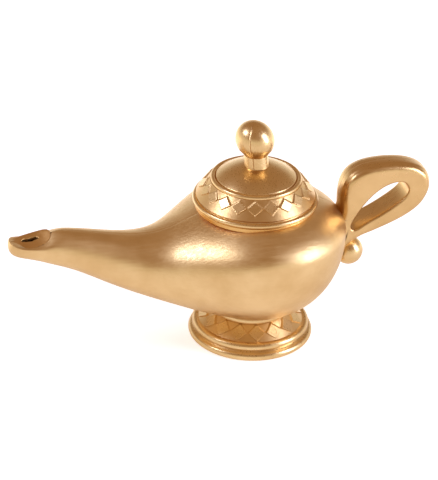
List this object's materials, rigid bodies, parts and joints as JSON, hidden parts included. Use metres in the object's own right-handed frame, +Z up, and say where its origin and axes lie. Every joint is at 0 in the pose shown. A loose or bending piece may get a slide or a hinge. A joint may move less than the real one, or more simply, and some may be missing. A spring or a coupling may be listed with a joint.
{
  "type": "genie oil lamp",
  "caption": "Genie lamp with a round bowl, long spout, looped handle, banded foot and lift-off domed lid with a ball knob; a hollow moulded prop in gold paint.",
  "frame": {"origin": "centre of the foot on the floor", "axes": "+Z up, +X towards the handle, the spout points along -X"},
  "size_m": [0.2205, 0.0952, 0.1228],
  "materials": {
    "body_front_half": "satin gold paint on moulded plastic",
    "body_rear_half": "satin gold paint on moulded plastic",
    "spout_tip_plate": "satin gold paint on moulded plastic",
    "mouth_collar": "satin gold paint on moulded plastic",
    "handle_front_half": "satin gold paint on moulded plastic",
    "handle_rear_half": "satin gold paint on moulded plastic",
    "handle_ball": "satin gold paint on moulded plastic",
    "foot": "satin gold paint on moulded plastic, sandy in the recesses",
    "base_cover": "gold paint on moulded plastic",
    "lid_cap": "satin gold paint on moulded plastic, sandy in the recesses",
    "lid_skirt": "gold paint on moulded plastic",
    "knob_left_half": "satin gold paint on moulded plastic",
    "knob_right_half": "satin gold paint on moulded plastic"
  },
  "bodies": {
    "lamp_body": {"body_front_half": "body_front_half", "body_rear_half": "body_rear_half", "spout_tip_plate": "spout_tip_plate", "mouth_collar": "mouth_collar", "handle_front_half": "handle_front_half", "handle_rear_half": "handle_rear_half", "handle_ball": "handle_ball", "foot": "foot", "base_cover": "base_cover"},
    "lid": {"lid_cap": "lid_cap", "lid_skirt": "lid_skirt", "knob_left_half": "knob_left_half", "knob_right_half": "knob_right_half"}
  },
  "joints": [
    {"name": "lid_lift", "type": "slide", "parent": "lamp_body", "child": "lid", "axis": [0, 0, 1], "range_m": [0, 0.06]}
  ]
}
